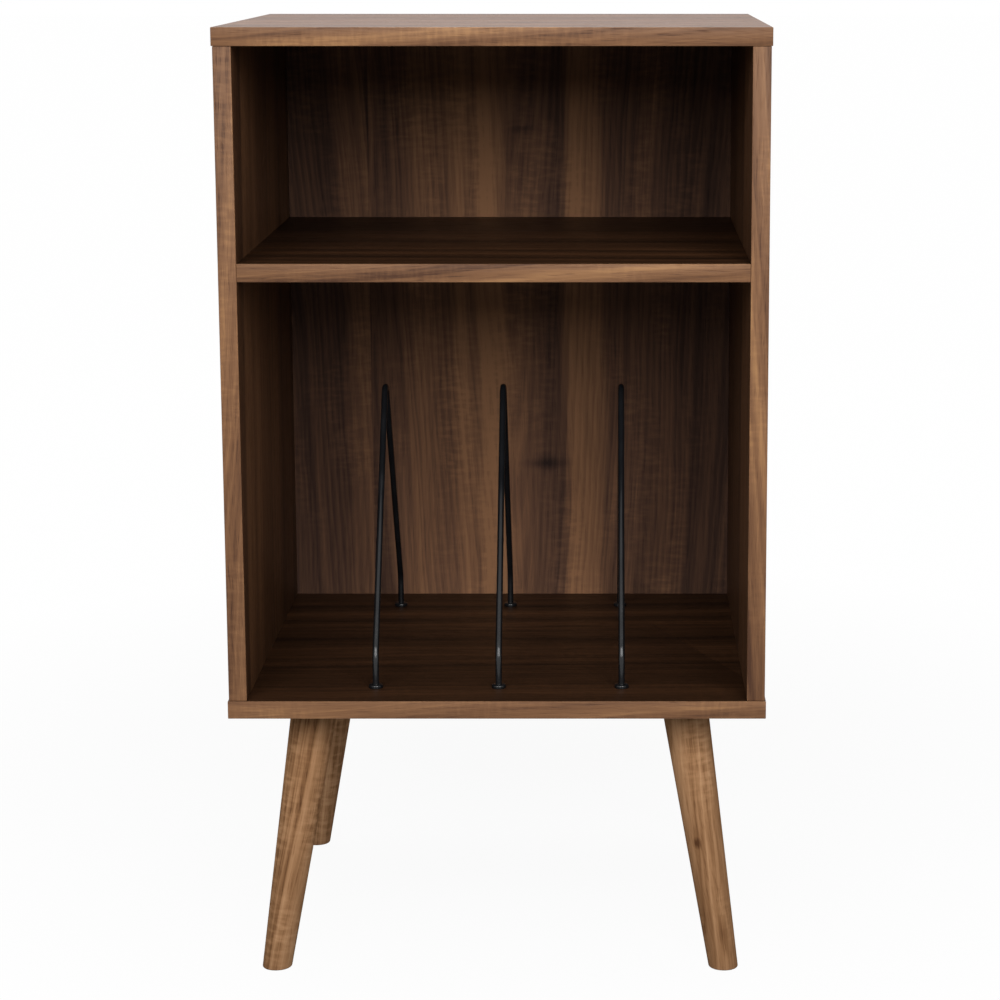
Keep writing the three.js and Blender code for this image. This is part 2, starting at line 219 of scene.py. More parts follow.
# %% [markdown]
# The rings are cones, so a point's ring is its distance from the heart less a share of its place
# along the board. Noise on that one number gives broad streaks, like runs of good and poor years. A
# sine on it gives the fine growth lines, which drift with the streaks and so don't look ruled.

# %% Rings and growth lines
STREAK_DETAIL = 6.0
STREAK_ROUGHNESS = 0.65
STREAK_RANGE = (0.28, 0.72)
LINE_WIDTH = 0.006
LINE_DRIFT = 3.0


def growth(tree, along, bent, deep, cone_slope, ring_width):
    """The broad streaks from 0 to 1 and the fine lines from -1 to 1."""
    squares = [maths(tree, "POWER", value, 2.0) for value in (bent, deep)]
    distance = maths(tree, "SQRT", maths(tree, "ADD", *squares))
    ring = maths(tree, "SUBTRACT", distance, maths(tree, "MULTIPLY", along, cone_slope))
    turns = maths(tree, "DIVIDE", ring, ring_width)
    streaks = noise(tree, turns, STREAK_DETAIL, STREAK_ROUGHNESS, "1D").outputs[0]
    drift = maths(tree, "MULTIPLY", streaks, LINE_DRIFT)
    phase = maths(tree, "ADD", maths(tree, "DIVIDE", ring, LINE_WIDTH), drift)
    lines = maths(tree, "SINE", maths(tree, "MULTIPLY", phase, 2 * math.pi))
    return spread(tree, streaks, *STREAK_RANGE), lines


print("a fine growth line every", LINE_WIDTH, "m")

# %% [markdown]
# Fibres and short dark pores follow the bent grain, so they are noise in long thin cells on the bent
# place. A faint ripple crosses them in patches, where the fibres wave. Its cells are short along the
# board and longer across it.

# %% Fibres, pores and ripple
THREAD_CELLS = (13, 330, 330)
THREAD_ROUGHNESS = 0.62
THREAD_RANGE = (0.3, 0.7)
DASH_CELLS = (55, 1100, 1100)
DASH_RANGE = (0.58, 0.74)
WAVE_CELLS = (230, 60, 60)
WAVE_RANGE = (0.42, 0.68)
PATCH_CELLS = (9, 28, 28)
PATCH_RANGE = (0.42, 0.62)


def fibres_and_pores(tree, grown):
    """Two values from 0 to 1 on a place that follows the grain."""
    thread = noise_in_cells(tree, grown, THREAD_CELLS, detail=3.0, roughness=THREAD_ROUGHNESS)
    dash = noise_in_cells(tree, grown, DASH_CELLS, detail=1.0)
    return (spread(tree, thread.outputs[0], *THREAD_RANGE), spread(tree, dash.outputs[0], *DASH_RANGE))


def cross_ripple(tree, place):
    """Waves across the grain, where a slower noise lets them show."""
    wave = noise_in_cells(tree, place, WAVE_CELLS, detail=2.0).outputs[0]
    patch = noise_in_cells(tree, place, PATCH_CELLS, detail=1.0).outputs[0]
    return maths(tree, "MULTIPLY", spread(tree, wave, *WAVE_RANGE), spread(tree, patch, *PATCH_RANGE))


print("pores are about", round(1 / DASH_CELLS[0], 3), "m long")

# %% [markdown]
# The parts go into one node group. Every wooden finish uses that group with its own inputs, so a
# change to the figure reaches all of them. The group only puts out values. What they mean for colour,
# sheen and relief is up to each finish.

# %% A shader group for walnut figure
FIBRE_HEIGHT = 0.4


def build_walnut_figure():
    """A group that turns a place in the plank into the parts of the figure."""
    tree = bpy.data.node_groups.new("walnut figure", "ShaderNodeTree")
    sockets = tree.interface
    sockets.new_socket(name="Place", in_out="INPUT", socket_type="NodeSocketVector")
    for name in ("Sway", "Heart Depth", "Cone Slope", "Ring"):
        sockets.new_socket(name=name, in_out="INPUT", socket_type="NodeSocketFloat")
    for name in ("Rings", "Lines", "Fibre", "Pores", "Ripple", "Height", "Bent"):
        sockets.new_socket(name=name, in_out="OUTPUT", socket_type="NodeSocketFloat")
    given = add_node(tree, "NodeGroupInput").outputs
    place = given["Place"]
    along = add_node(tree, "ShaderNodeSeparateXYZ", {0: place}).outputs[0]
    bent, deep = bent_place(tree, place, given["Sway"], given["Heart Depth"])
    rings, lines = growth(tree, along, bent, deep, given["Cone Slope"], given["Ring"])
    grown = add_node(tree, "ShaderNodeCombineXYZ", {0: along, 1: bent, 2: deep}).outputs[0]
    fibre, pores = fibres_and_pores(tree, grown)
    height = maths(tree, "SUBTRACT", maths(tree, "MULTIPLY", fibre, FIBRE_HEIGHT), pores)
    outputs = {"Rings": rings, "Lines": lines, "Fibre": fibre, "Pores": pores,
               "Ripple": cross_ripple(tree, place), "Height": height, "Bent": bent}
    add_node(tree, "NodeGroupOutput", outputs)
    return tree


walnut_figure = build_walnut_figure()
print("walnut figure:", len(walnut_figure.nodes), "nodes")

# %% [markdown]
# ## From figure to wood
# A piece says where its surface lies in the plank, and a colour ramp turns the figure's tone into
# colour. Knots and dark streaks belong to one place on one piece, so they are soft spots that lower
# the tone there. Each of the helpers below does one of these.

# %% Plank place, ramp and dark spots
GRAIN = "grain_place"


def grain_attribute(tree):
    """Where a point of the piece lies in its plank, as its mesh says."""
    return add_node(tree, "ShaderNodeAttribute", attribute_name=GRAIN).outputs["Vector"]


def fill_ramp(ramp, stops):
    """Gives a colour ramp its (position, colour) stops. Where a new one starts doesn't matter."""
    elements = ramp.color_ramp.elements
    while len(elements) < len(stops):
        elements.new(0.5)
    for element, (position, colour) in zip(elements, stops):
        element.position = position
        element.color = colour


def dark_spots(tree, where, marks):
    """marks: (middle, reach, depth). 0 away from them, down to -depth in the middle of each."""
    tone = 0.0
    for middle, reach, depth in marks:
        offset = vector_maths(tree, "SUBTRACT", where, middle).outputs[0]
        shares = vector_maths(tree, "DIVIDE", offset, reach).outputs[0]
        away = vector_maths(tree, "LENGTH", shares).outputs["Value"]
        tone = maths(tree, "ADD", tone, spread(tree, away, 0.0, 1.0, -depth, 0.0))
    return tone


print("made", grain_attribute.__name__, fill_ramp.__name__, "and", dark_spots.__name__)

# %% [markdown]
# Every wooden finish has its own layout, its own shares of rings, lines, fibre, ripple and pores, and
# its own row of tones from the darkest streak to the lightest. The sheen is a thin lacquer: smooth
# between the fibres, duller in the pores, which also sink in a little.

# %% A wooden material
HEIGHT_RANGE = (-0.6, 0.4)
GRAIN_BUMP = {"Strength": 0.35, "Distance": 0.0003}


def wood_material(name, place_of, tones, layout, mix, roughness, gloss, extra_tone=None):
    """tones: (position, colour) pairs. layout: the group's inputs. mix: shares of its outputs.
    roughness: between the fibres and in the pores. gloss: the lacquer's share of reflection.
    extra_tone: a function that gives one more share of tone from the tree and the figure."""
    material = bpy.data.materials.new(name)
    material.use_nodes = True
    tree = material.node_tree
    shader = tree.nodes["Principled BSDF"]
    figure = add_node(tree, "ShaderNodeGroup", node_tree=walnut_figure)
    tree.links.new(place_of(tree), figure.inputs["Place"])
    for socket, value in layout.items():
        figure.inputs[socket].default_value = value
    tone = maths(tree, "MULTIPLY", figure.outputs["Rings"], mix["Rings"])
    for part in ("Lines", "Fibre", "Ripple"):
        share = maths(tree, "MULTIPLY", figure.outputs[part], mix[part])
        tone = maths(tree, "ADD", tone, share)
    tone = maths(tree, "SUBTRACT", tone, maths(tree, "MULTIPLY", figure.outputs["Pores"], mix["Pores"]))
    if extra_tone:
        tone = maths(tree, "ADD", tone, extra_tone(tree, figure))
    ramp = add_node(tree, "ShaderNodeValToRGB", {"Fac": tone})
    fill_ramp(ramp, tones)
    tree.links.new(ramp.outputs["Color"], shader.inputs["Base Color"])
    between, in_pores = roughness
    sheen = spread(tree, figure.outputs["Height"], *HEIGHT_RANGE, in_pores, between)
    tree.links.new(sheen, shader.inputs["Roughness"])
    shader.inputs["Specular IOR Level"].default_value = gloss
    bump = add_node(tree, "ShaderNodeBump", {**GRAIN_BUMP, "Height": figure.outputs["Height"]})
    tree.links.new(bump.outputs["Normal"], shader.inputs["Normal"])
    return material


print("bump of the grain:", GRAIN_BUMP["Distance"], "m")

# %% [markdown]
# ## Board veneer
# The boards are faced with walnut in long quiet stripes and have a thin satin lacquer. The two that
# things stand on look darker and shine less. They get a copy of the same veneer in the same layout,
# with darker tones that paint in the shade that lies inside the bays.

# %% Materials for the boards
board_mix = {"Rings": 0.74, "Lines": 0.04, "Fibre": 0.22, "Ripple": 0.1, "Pores": 0.14}
board_layout = {"Sway": 0.024, "Heart Depth": 0.04, "Cone Slope": 0.035, "Ring": 0.045}
board_roughness = (0.4, 0.56)
board_tones = [
    (0.12, paint(41, 26, 16)),
    (0.36, paint(65, 42, 27)),
    (0.60, paint(85, 57, 37)),
    (0.92, paint(109, 75, 50)),
]
# The board's tones darkened: painted shade of the bays' floors.
shaded_bed_tones = [
    (0.12, paint(24, 14, 8)),
    (0.36, paint(42, 26, 15)),
    (0.60, paint(57, 36, 22)),
    (0.92, paint(77, 50, 31)),
]
walnut_board = wood_material("walnut board", grain_attribute, board_tones, board_layout, board_mix,
                             board_roughness, gloss=0.15)
# The board veneer again, with painted shade in its tones.
walnut_bed_shaded = wood_material("walnut bed shaded", grain_attribute, shaded_bed_tones, board_layout, board_mix,
                           board_roughness, gloss=0.08)
print("made", walnut_board.name, "and", walnut_bed_shaded.name)

# %% [markdown]
# ## Edging
# The front edges of the boards carry a strip of lighter veneer, whose rings are narrower and run
# aslant. A steeper cone and a narrower ring give that. Its tones are brighter than the boards' tones,
# with warm light streaks.

# %% Material for the edging
edging_tones = [
    (0.10, paint(76, 50, 35)),
    (0.38, paint(110, 77, 53)),
    (0.62, paint(127, 91, 63)),
    (0.92, paint(154, 114, 77)),
]
edging_layout = {"Sway": 0.02, "Heart Depth": 0.03, "Cone Slope": 0.08, "Ring": 0.018}
edging_mix = {"Rings": 0.62, "Lines": 0.04, "Fibre": 0.28, "Ripple": 0.17, "Pores": 0.2}
walnut_edging = wood_material("walnut edging", grain_attribute, edging_tones, edging_layout,
                              edging_mix, board_roughness, gloss=0.15)
print("made", walnut_edging.name)

# %% [markdown]
# ## Wood of the legs
# The legs are solid wood, stained to go with the boards. Their figure is narrow and rippled, and the
# front right one has a small knot with a dark streak below it. Each leg lies in its own stretch of
# the plank, so marks given by their plank place show on that leg only. The lacquer has no gloss here:
# a glossy coat would mirror the white ground along the rims, which are dark in the photograph.

# %% Material for the legs
leg_tones = [
    (0.10, paint(82, 54, 35)),
    (0.36, paint(124, 89, 60)),
    (0.60, paint(152, 114, 81)),
    (0.92, paint(174, 135, 100)),
]
leg_layout = {"Sway": 0.012, "Heart Depth": 0.03, "Cone Slope": 0.05, "Ring": 0.014}
leg_mix = {"Rings": 0.84, "Lines": 0.05, "Fibre": 0.22, "Ripple": 0.28, "Pores": 0.18}
leg_marks = [
    ((1.576, 0.0215, 0.0), (0.006, 0.005, 0.005), 0.40),
    ((1.582, 0.0215, 0.0), (0.022, 0.007, 0.008), 0.16),
    ((1.495, 0.0280, 0.009), (0.024, 0.0035, 0.005), 0.32),
]


def knot_in_leg(tree, figure):
    """The knot, a soft shade about it, and the dark streak."""
    return dark_spots(tree, grain_attribute(tree), leg_marks)


walnut_leg = wood_material("walnut leg", grain_attribute, leg_tones, leg_layout, leg_mix,
                           roughness=(0.5, 0.64), gloss=0.0, extra_tone=knot_in_leg)
print("made", walnut_leg.name)

# %% [markdown]
# ## The back panel's own figure
# The back is a thin panel with a wide walnut picture: upright grain, an arch near the middle, and a
# seam where two leaves of veneer meet on the left. Its CAD node already has the right shape, so it
# stays and only gets a material. The node has no grain of its own in its mesh, but its object
# coordinates are metres in the stand's frame, so they can be turned into a plank place. The broad
# light and dark bands from left to right are a ramp across the panel, with the knots and the seam as
# dark spots on it.

# %% Place and bands of the back
BACK_SEAM_X = -0.1335
BACK_HEART_Z = 0.30
BACK_Y = 0.2
LEFT_LEAF_SHIFT = 0.35
BACK_HALF_WIDTH = 0.209
ALL_THROUGH = 1.0
back_marks = [
    ((0.034, BACK_Y, 0.374), (0.030, ALL_THROUGH, 0.007), 0.22),
    ((0.034, BACK_Y, 0.375), (0.012, ALL_THROUGH, 0.012), 0.20),
    ((0.014, BACK_Y, 0.695), (0.016, ALL_THROUGH, 0.006), 0.20),
    ((BACK_SEAM_X, BACK_Y, 0.500), (0.0012, ALL_THROUGH, 0.110), 0.30),
    ((BACK_SEAM_X, BACK_Y, 0.680), (0.0012, ALL_THROUGH, 0.100), 0.20),
]
back_bands = [
    (0.00, 0.14), (0.06, 0.22), (0.10, 0.20), (0.14, 0.40), (0.178, 0.40), (0.184, 0.22),
    (0.23, 0.30), (0.29, 0.52), (0.35, 0.40), (0.385, 0.60), (0.41, 0.44), (0.435, 0.68),
    (0.47, 0.62), (0.50, 0.42), (0.55, 0.30), (0.60, 0.16), (0.635, 0.64), (0.69, 0.58),
    (0.72, 0.32), (0.77, 0.24), (0.84, 0.32), (0.92, 0.16), (1.00, 0.20),
]


def back_place(tree):
    """Object coordinates as along (up), across and through, with the left leaf moved on."""
    x, y, z = add_node(tree, "ShaderNodeSeparateXYZ", {0: object_place(tree)}).outputs
    leaf = maths(tree, "LESS_THAN", x, BACK_SEAM_X)
    shift = maths(tree, "MULTIPLY", leaf, LEFT_LEAF_SHIFT)
    along = maths(tree, "ADD", maths(tree, "SUBTRACT", z, BACK_HEART_Z), shift)
    return add_node(tree, "ShaderNodeCombineXYZ", {0: along, 1: x, 2: y}).outputs[0]


def tone_across_back(tree, figure):
    """The bands of the picture from left to right, its seam and its knots."""
    share = spread(tree, figure.outputs["Bent"], -BACK_HALF_WIDTH, BACK_HALF_WIDTH)
    ramp = add_node(tree, "ShaderNodeValToRGB", {"Fac": share})
    fill_ramp(ramp, [(position, (tone, tone, tone, 1)) for position, tone in back_bands])
    ramp.color_ramp.interpolation = "EASE"
    spots = dark_spots(tree, object_place(tree), back_marks)
    return maths(tree, "ADD", ramp.outputs["Color"], spots)


print("bands across the back:", len(back_bands))

# %% [markdown]
# The bands carry most of the picture, so the shares of rings and fibres are small here: they only
# make the bands look grown. The lacquer is nearly matt, because the photograph shows no highlight on
# the back.

# %% Dress the back panel
back_tones = [
    (0.12, paint(45, 34, 31)),
    (0.36, paint(74, 54, 45)),
    (0.60, paint(103, 74, 57)),
    (0.92, paint(142, 103, 74)),
]
back_layout = {"Sway": 0.026, "Heart Depth": -0.176, "Cone Slope": 0.06, "Ring": 0.024}
back_mix = {"Rings": 0.26, "Lines": 0.05, "Fibre": 0.16, "Ripple": 0.13, "Pores": 0.09}
walnut_back = wood_material("walnut back", back_place, back_tones, back_layout, back_mix,
                            roughness=(0.5, 0.64), gloss=0.03, extra_tone=tone_across_back)
nodes["back_panel"].data.materials[0] = walnut_back
print("back panel dressed in", walnut_back.name)

# %% [markdown]
# ## Boards and their edging
# Each board is cut to size, grooved for the back and drilled for dowels before it is edged. It could
# be built again from a box and cutters, but the CAD nodes hold all of that. So a copy of each is
# welded into one skin and worked on, and the piece made from it stands in for its CAD node.

# %% Helpers for pieces
WELD = 1e-6
FLAT_ANGLE = math.radians(0.5)


def finish_piece(bm, name, material, replaced, smooth_angle=35):
    """Turns a bmesh into a piece that rides on the stand and stands for CAD nodes."""
    mesh = bpy.data.meshes.new(name)
    bm.to_mesh(mesh)
    bm.free()
    for face in mesh.polygons:
        face.use_smooth = True
    mesh.set_sharp_from_angle(angle=math.radians(smooth_angle))
    mesh.materials.append(material)
    piece = bpy.data.objects.new(name, mesh)
    bpy.context.collection.objects.link(piece)
    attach(piece, "root")
    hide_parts(*replaced)


def welded_copy(node):
    """A CAD node's loose triangles as one skin with flat faces."""
    bm = bmesh.new()
    bm.from_mesh(nodes[node].data)
    bmesh.ops.remove_doubles(bm, verts=bm.verts, dist=WELD)
    bmesh.ops.dissolve_limit(bm, angle_limit=FLAT_ANGLE, verts=bm.verts, edges=bm.edges)
    return bm


print("corners closer than", WELD, "m are welded")

# %% [markdown]
# On the real stand only the outer arrises are eased, as a sanding block would do. The arrises where a
# board meets its edging stay sharp, so the joint stays closed. They are found by place: an outer
# arris lies on two faces of its node's box.

# %% Ease the outer arrises
TOUCH = 1e-5
ARRIS = 0.0005
X, Y, Z = range(3)


def ease_arrises(bm, node, joint_y):
    """Rounds the edges on two faces of the node's box, except those in the joint plane."""
    box_planes = [(axis, corner[axis]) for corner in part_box(node) for axis in (X, Y, Z)]
    arrises = []
    for edge in bm.edges:
        touched = [(axis, level) for axis, level in box_planes
                   if all(abs(vert.co[axis] - level) < TOUCH for vert in edge.verts)]
        in_joint = any(axis == Y and abs(level - joint_y) < TOUCH for axis, level in touched)
        if len(touched) == 2 and not in_joint:
            arrises.append(edge)
    bmesh.ops.bevel(bm, geom=arrises, offset=ARRIS, offset_type="OFFSET", affect="EDGES",
                    segments=2, profile=0.5, material=-1, clamp_overlap=True)
    return len(arrises)


print("arrises are eased by", ARRIS, "m")

# %% [markdown]
# The figure needs to know where a face lies in its plank. An unwrapped image layout could say it in
# two numbers, but the figure is solid and needs three. So each corner of a face gets a place: along
# the grain, across it and through the board, counted from the piece's middle and then moved to the
# piece's own stretch of the plank. On the ends, where the grain would stop, the strip runs the long
# way round, as edging does.


# %% Lay the grain
def lay_grain(bm, along, shift):
    """Writes on each face corner where it lies in its plank."""
    layer = bm.loops.layers.float_vector.new(GRAIN)
    bm.normal_update()
    low = Vector([min(vert.co[axis] for vert in bm.verts) for axis in (X, Y, Z)])
    high = Vector([max(vert.co[axis] for vert in bm.verts) for axis in (X, Y, Z)])
    spans, middle = high - low, (high + low) / 2
    for face in bm.faces:
        through = max((X, Y, Z), key=lambda axis: abs(face.normal[axis]))
        flat = [axis for axis in (X, Y, Z) if axis != through]
        run = along if along in flat else max(flat, key=lambda axis: spans[axis])
        across = next(axis for axis in flat if axis != run)
        for loop in face.loops:
            co = loop.vert.co - middle
            loop[layer] = Vector((co[run], co[across], co[through])) + Vector(shift)


print("grain is written as", GRAIN)

# %% [markdown]
# The grain runs the long way of each board: from side to side in the lying ones, upwards in the
# sides. Each row below gives a board's grain direction, its veneer, and where the board and its
# edging lie in the plank. The places are far apart, so no two pieces show the same wood.

# %% Ease the boards and lay their grain
board_rows = {
    "top_board": (X, walnut_board, (0.0, 0.07, 0.0), (5.0, 0.05, 0.0)),
    "bottom_board": (X, walnut_bed_shaded, (2.1, 0.31, 0.0), (6.3, 0.065, 0.0)),
    "fixed_shelf": (X, walnut_bed_shaded, (1.3, -0.27, 0.0), (7.6, 0.1, 0.0)),
    "left_side": (Z, walnut_board, (3.2, 0.26, 0.0), (8.2, 0.09, 0.0)),
    "right_side": (Z, walnut_board, (4.4, -0.09, 0.0), (9.4, -0.07, 0.0)),
}
for board, (grain_axis, veneer, board_shift, edging_shift) in board_rows.items():
    board_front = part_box(board)[0][Y]
    board_bm = welded_copy(board)
    eased = ease_arrises(board_bm, board, board_front)
    lay_grain(board_bm, grain_axis, board_shift)
    finish_piece(board_bm, f"{board}_eased", veneer, [board])
    edging = f"{board}_edging"
    edging_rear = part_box(edging)[1][Y]
    strip_bm = welded_copy(edging)
    ease_arrises(strip_bm, edging, edging_rear)
    lay_grain(strip_bm, grain_axis, edging_shift)
    finish_piece(strip_bm, f"{edging}_strip", walnut_edging, [edging])
    print(board, "eased on", eased, "arrises")

# %% [markdown]
# ## Legs
# A leg is turned on a lathe: a cone that narrows to the foot, with a bore in its top for the hanger
# bolt. It is then fixed to its plate at a splay and its foot is sawn level with the floor. Here the
# outline is spun once round, the blank is tilted into its corner, and the floor plane cuts the foot.
# A plain cone with a hole cut in it would do as well, but one outline gives cone, chamfer and bore at
# once. It starts at the blind end of the bore and ends below the floor, so the saw has wood to cut.

# %% The outline of a leg
LEG_TOP_RADIUS = 0.020
LEG_FOOT_RADIUS = 0.0125
LEG_HEIGHT = 0.230
LEG_TOP_INSET = 0.067
LEG_SPLAY = 0.0345
LEG_TOP_CHAMFER = 0.0015
GLUE_LINE = 0.0001
FIT_GAP = 0.0003
PLATE_THICKNESS = 0.0025
RIM_CLEARANCE = 0.0006
BOLT_BORE_RADIUS = 0.0043
BOLT_IN_LEG = 0.030

leg_tilt = math.atan(LEG_SPLAY * math.sqrt(2) / LEG_HEIGHT)
leg_axis = LEG_HEIGHT / math.cos(leg_tilt)
seat_drop = (RIM_CLEARANCE + LEG_TOP_RADIUS * math.sin(leg_tilt) + GLUE_LINE + PLATE_THICKNESS)
seat_drop /= math.cos(leg_tilt)


def leg_radius(drop):
    """The leg's radius so far down its axis."""
    return LEG_TOP_RADIUS + (LEG_FOOT_RADIUS - LEG_TOP_RADIUS) * drop / leg_axis


leg_top = seat_drop + FIT_GAP
leg_end = leg_axis + 2 * LEG_FOOT_RADIUS
bore_end = seat_drop + BOLT_IN_LEG + FIT_GAP
leg_profile = [
    (0, -bore_end),
    (BOLT_BORE_RADIUS, -bore_end),
    (BOLT_BORE_RADIUS, -leg_top),
    (leg_radius(leg_top) - LEG_TOP_CHAMFER, -leg_top),
    (leg_radius(leg_top + LEG_TOP_CHAMFER), -leg_top - LEG_TOP_CHAMFER),
    (leg_radius(leg_end), -leg_end),
    (0, -leg_end),
]
print("leg: tilt", round(math.degrees(leg_tilt), 2), "degrees, axis", round(leg_axis, 4), "m")

# %% [markdown]
# The lathe is a spin about the upright axis, and the saw is a cut along the floor. A foot's rim is
# its only worn edge, so only that one is rounded.

# %% Lathe and saw
LEG_FOOT_ROUND = 0.0012


def spin_profile(bm, profile, sides):
    """Spins an outline of (radius, height) points about Z into a closed skin."""
    verts = [bm.verts.new((radius, 0, height)) for radius, height in profile]
    edges = [bm.edges.new(pair) for pair in zip(verts, verts[1:])]
    bmesh.ops.spin(bm, geom=verts + edges, cent=(0, 0, 0), axis=(0, 0, 1), angle=2 * math.pi,
                   steps=sides, use_merge=True)
    bmesh.ops.remove_doubles(bm, verts=bm.verts, dist=WELD)
    bmesh.ops.recalc_face_normals(bm, faces=bm.faces)


def saw_at_floor(bm):
    """Cuts off what is below the floor, closes the cut and rounds its rim."""
    cut = bmesh.ops.bisect_plane(bm, geom=bm.verts[:] + bm.edges[:] + bm.faces[:],
                                 plane_co=(0, 0, 0), plane_no=(0, 0, -1), clear_outer=True)
    rim = [item for item in cut["geom_cut"] if isinstance(item, bmesh.types.BMEdge)]
    bmesh.ops.contextual_create(bm, geom=rim)
    bmesh.ops.recalc_face_normals(bm, faces=bm.faces)
    bmesh.ops.bevel(bm, geom=rim, offset=LEG_FOOT_ROUND, offset_type="OFFSET", affect="EDGES",
                    segments=3, profile=0.5, material=-1)


print("the rim of a foot is rounded by", LEG_FOOT_ROUND, "m")

# %% [markdown]
# Each blank is tilted outwards and turned into its corner before it is sawn. The grain is counted in
# the blank's own axes, so it runs along the leg wherever the leg points.

# %% Turn, tilt and saw the legs
LEG_SIDES = 64

half_width, half_depth = cad_box[1][X], cad_box[1][Y]
leg_shifts = {
    "front_left": (0.3, -0.022, 0.02),
    "front_right": (1.7, 0.016, 0.015),
    "rear_left": (2.2, 0.02, 0.0),
    "rear_right": (3.4, -0.01, 0.03),
}
for corner, shift in leg_shifts.items():
    depth_sign = -1 if "front" in corner else 1
    width_sign = -1 if "left" in corner else 1
    place = Vector((width_sign * (half_width - LEG_TOP_INSET),
                    depth_sign * (half_depth - LEG_TOP_INSET), LEG_HEIGHT))
    turn = math.atan2(depth_sign, width_sign)
    stand_leg = (Matrix.Translation(place) @ Matrix.Rotation(turn, 4, "Z")
                 @ Matrix.Rotation(-leg_tilt, 4, "Y"))
    leg_bm = bmesh.new()
    spin_profile(leg_bm, leg_profile, LEG_SIDES)
    bmesh.ops.transform(leg_bm, matrix=stand_leg, verts=leg_bm.verts)
    saw_at_floor(leg_bm)
    layer = leg_bm.loops.layers.float_vector.new(GRAIN)
    to_blank = stand_leg.inverted()
    for face in leg_bm.faces:
        for loop in face.loops:
            x, y, z = to_blank @ loop.vert.co
            loop[layer] = Vector((z, x, y)) + Vector(shift)
    finish_piece(leg_bm, f"turned_leg_{corner}", walnut_leg, [f"leg_{corner}"],
                 smooth_angle=50)
    print("leg", corner, "meets its plate near", rounded(place))

# %% [markdown]
# ## Coated and plated steel
# The dividers have a black powder coat, which is satin with a fine orange peel. The hidden fixings
# are zinc-plated, which is bright and mottled. Both are one recipe: a soft cloud of noise drives the
# colour and the gloss, and a much finer noise raises the texture.

# %% Materials for steel
CLOUD_CELLS = (60, 60, 60)
CLOUD_RANGE = (0.3, 0.7)
PEEL_STRENGTH = 0.4
MIX_A, MIX_B, MIX_RESULT = 6, 7, 2  # the colour sockets of a Mix node, which share their names


def colour_mix(tree, factor, first, second):
    """One colour or another, or a blend of both."""
    mix = add_node(tree, "ShaderNodeMix", {"Factor": factor, MIX_A: first, MIX_B: second},
                   data_type="RGBA")
    return mix.outputs[MIX_RESULT]


def metal_material(name, dark, light, metallic, roughness, gloss, peel_size, peel_height):
    """A metal or coating whose gloss varies softly and whose surface has a fine texture."""
    material = bpy.data.materials.new(name)
    material.use_nodes = True
    tree = material.node_tree
    shader = tree.nodes["Principled BSDF"]
    where = object_place(tree)
    cloud = noise_in_cells(tree, where, CLOUD_CELLS, 3.0).outputs[0]
    peel = noise_in_cells(tree, where, (1 / peel_size,) * 3, 2.0).outputs[0]
    colour = colour_mix(tree, spread(tree, cloud, *CLOUD_RANGE), dark, light)
    tree.links.new(colour, shader.inputs["Base Color"])
    tree.links.new(spread(tree, cloud, *CLOUD_RANGE, *roughness), shader.inputs["Roughness"])
    shader.inputs["Metallic"].default_value = metallic
    shader.inputs["Specular IOR Level"].default_value = gloss
    bump_inputs = {"Strength": PEEL_STRENGTH, "Distance": peel_height, "Height": peel}
    bump = add_node(tree, "ShaderNodeBump", bump_inputs)
    tree.links.new(bump.outputs["Normal"], shader.inputs["Normal"])
    return material


black_coat = metal_material("black powder coat", paint(16, 17, 19), paint(23, 24, 26), metallic=0.0,
                            roughness=(0.12, 0.2), gloss=0.38, peel_size=0.0012, peel_height=0.00002)
zinc_plate = metal_material("zinc plate", paint(168, 170, 172), paint(206, 207, 208), metallic=1.0,
                            roughness=(0.28, 0.44), gloss=0.5, peel_size=0.0008, peel_height=0.00003)
print("made", black_coat.name, "and", zinc_plate.name)

# %% [markdown]
# ## Wire dividers
# Each divider is one length of steel wire, bent at two knees and a peak. Its straight runs follow from
# where the runs would meet if the bends were sharp: each bend takes a little off both its runs.

# %% Measure the wire
DIVIDER_REACH = 0.295
KNEE_HEIGHT = 0.0282
PEAK_HEIGHT = 0.2454
KNEE_RADIUS = 0.025
PEAK_RADIUS = 0.013

half_reach = DIVIDER_REACH / 2
slope = math.atan2(PEAK_HEIGHT - KNEE_HEIGHT, half_reach)
knee_turn = math.pi / 2 - slope
peak_turn = 2 * slope
knee_cut = KNEE_RADIUS * math.tan(knee_turn / 2)
peak_cut = PEAK_RADIUS * math.tan(peak_turn / 2)
slope_run = math.hypot(half_reach, PEAK_HEIGHT - KNEE_HEIGHT) - knee_cut - peak_cut
upright_run = KNEE_HEIGHT - knee_cut
wire_length = 2 * (upright_run + knee_turn * KNEE_RADIUS + slope_run) + peak_turn * PEAK_RADIUS
print("wire for one divider:", round(wire_length, 4), "m")

# %% [markdown]
# The wire could be a curve with a round bevel, but then its rings would bunch up in the tight bends.
# So it is made the way a wire bender makes it: a round section is pushed straight on, then swept
# round a bending centre, run by run.

# %% Bend a wire
WIRE_RADIUS = 0.00275
WIRE_SIDES = 24
BEND_STEP = math.radians(4)


